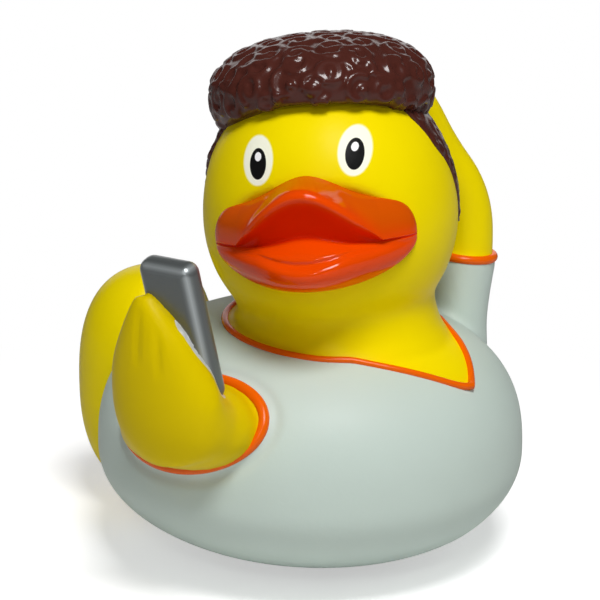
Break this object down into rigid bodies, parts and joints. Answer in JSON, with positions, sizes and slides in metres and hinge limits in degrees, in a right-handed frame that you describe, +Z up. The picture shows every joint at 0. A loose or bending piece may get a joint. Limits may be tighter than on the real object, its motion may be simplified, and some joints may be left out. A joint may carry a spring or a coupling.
{
  "type": "rubber duck",
  "caption": "Soft vinyl bath duck in a white top, with curly brown hair and one arm behind its head, holding up a silver phone for a self-portrait.",
  "frame": {"origin": "middle of the bounding box in plan, on the plane of the flat base", "axes": "+Z up, -Y the way the body faces, so that -X is the duck's right, which its head is turned towards"},
  "size_m": [0.0822, 0.0858, 0.0904],
  "materials": {
    "yellow_vinyl": "satin soft vinyl, moulded in yellow",
    "white_paint": "satin cool white paint on vinyl",
    "orange_vinyl": "glossy orange paint on vinyl",
    "orange_paint": "satin orange paint on raised edging",
    "brown_paint": "glossy reddish brown paint",
    "silver_paint": "satin metallic grey paint",
    "clear_plastic": "translucent moulded plastic"
  },
  "bodies": {
    "root": {"duck_shell": "yellow_vinyl", "squeaker": "clear_plastic"}
  },
  "joints": []
}
